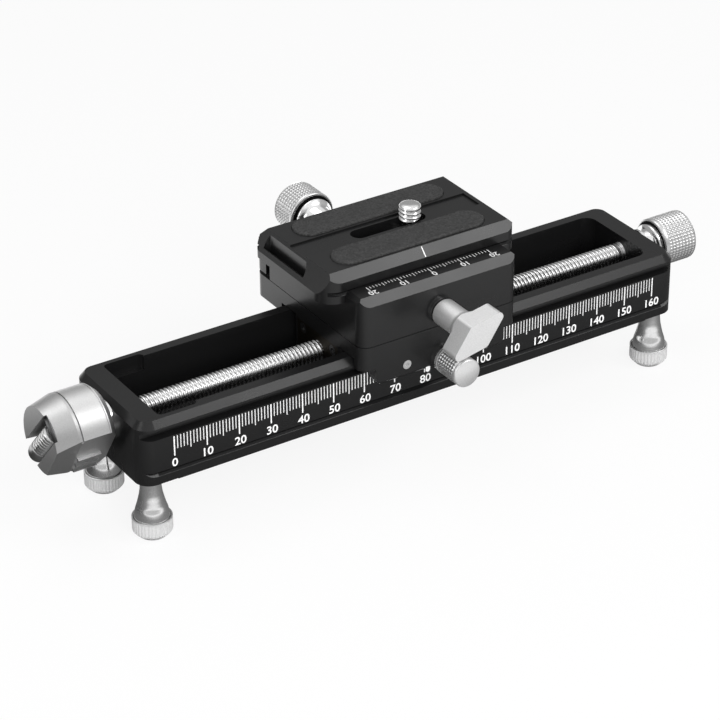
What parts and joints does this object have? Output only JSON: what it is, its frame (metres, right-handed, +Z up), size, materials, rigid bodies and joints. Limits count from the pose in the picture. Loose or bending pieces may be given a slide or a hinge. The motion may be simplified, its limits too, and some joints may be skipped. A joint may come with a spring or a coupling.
{
  "type": "macro focusing rail",
  "caption": "Macro focusing rail on feet: a screw-driven carriage with a crank and a fine knob, carrying a panning clamp and a quick-release plate.",
  "frame": {"origin": "middle of the rail's underside, on the face that lies between the four feet", "axes": "+X along the rail towards the fine knob, +Y to the back, towards the clamp knob, +Z up"},
  "size_m": [0.2159, 0.0949, 0.0661],
  "materials": {
    "black": "satin",
    "silver": "satin",
    "steel": "satin",
    "foot_steel": "satin",
    "dark_steel": "satin",
    "brass": "satin",
    "rubber": "matte"
  },
  "bodies": {
    "rail": {"rail_body": "black", "left_bearing": "brass", "right_bearing": "silver", "foot_stem_fl": "foot_steel", "foot_stem_fr": "foot_steel", "foot_stem_bl": "foot_steel", "foot_stem_br": "foot_steel", "foot_cup_fl": "silver", "foot_cup_fr": "silver", "foot_cup_bl": "silver", "foot_cup_br": "silver"},
    "screw": {"lead_screw": "steel", "crank_barrel": "silver", "crank_head": "silver", "crank_pin": "steel", "fine_collar": "silver", "fine_knob": "silver"},
    "crank_handle": {"crank_arm": "dark_steel"},
    "handle_grip": {"crank_grip": "silver"},
    "slider": {"carriage": "black", "lead_nut": "brass", "nut_screws": "dark_steel", "gib_strip": "brass", "gib_screws": "dark_steel", "pan_spigot": "steel"},
    "travel_lock": {"travel_lock_knob": "silver", "travel_lock_washer": "silver"},
    "clamp": {"clamp_body": "black"},
    "jaw": {"clamp_jaw": "black", "jaw_guide_pins": "steel"},
    "jaw_knob": {"clamp_knob": "silver", "clamp_screw": "steel"},
    "pan_lock": {"pan_lock_handle": "silver", "pan_lock_washer": "silver"},
    "plate": {"quick_plate": "black", "front_pad": "rubber", "rear_pad": "rubber"},
    "screw_clip": {"camera_screw_clip": "steel"},
    "mount_screw": {"camera_screw": "steel"}
  },
  "joints": [
    {"name": "carriage_slide", "type": "slide", "parent": "rail", "child": "slider", "axis": [1, 0, 0], "range_m": [-0.0437, 0.0523]},
    {"name": "screw_turn", "type": "hinge", "parent": "rail", "child": "screw", "pos_m": [0, 0, 0.0126], "axis": [1, 0, 0], "continuous": true},
    {"name": "crank_fold", "type": "hinge", "parent": "screw", "child": "crank_handle", "pos_m": [-0.1066, -0.00443, 0.01749], "axis": [0, 0.7408, 0.6717], "range_deg": [0, 90]},
    {"name": "grip_spin", "type": "hinge", "parent": "crank_handle", "child": "handle_grip", "pos_m": [-0.1066, 0.00336, 0.0089], "axis": [0, 0.6717, -0.7408], "continuous": true},
    {"name": "travel_lock_turn", "type": "hinge", "parent": "slider", "child": "travel_lock", "pos_m": [0.0046, -0.028, 0.01305], "axis": [0, -1, 0], "range_deg": [-60, 0]},
    {"name": "pan_turn", "type": "hinge", "parent": "slider", "child": "clamp", "pos_m": [0.00315, 0.0052, 0.03], "axis": [0, 0, 1], "continuous": true},
    {"name": "pan_lock_turn", "type": "hinge", "parent": "clamp", "child": "pan_lock", "pos_m": [0.00315, -0.03, 0.0286], "axis": [0, -1, 0], "continuous": true},
    {"name": "jaw_slide", "type": "slide", "parent": "clamp", "child": "jaw", "axis": [0, 1, 0], "range_m": [0, 0.0025]},
    {"name": "clamp_knob_turn", "type": "hinge", "parent": "jaw", "child": "jaw_knob", "pos_m": [0.00315, 0.045, 0.0286], "axis": [0, 1, 0], "continuous": true},
    {"name": "plate_slide", "type": "slide", "parent": "clamp", "child": "plate", "axis": [1, 0, 0], "range_m": [-0.02, 0.02]},
    {"name": "camera_screw_slide", "type": "slide", "parent": "plate", "child": "screw_clip", "axis": [1, 0, 0], "range_m": [-0.0166, 0.002]},
    {"name": "camera_screw_turn", "type": "hinge", "parent": "screw_clip", "child": "mount_screw", "pos_m": [0.01045, 0.0037, 0.04], "axis": [0, 0, 1], "continuous": true}
  ],
  "couplings": [
    {"joint": "screw_turn", "follows": "carriage_slide", "rad_per_m": 5026.5},
    {"joint": "clamp_knob_turn", "follows": "jaw_slide", "rad_per_m": 7854}
  ]
}
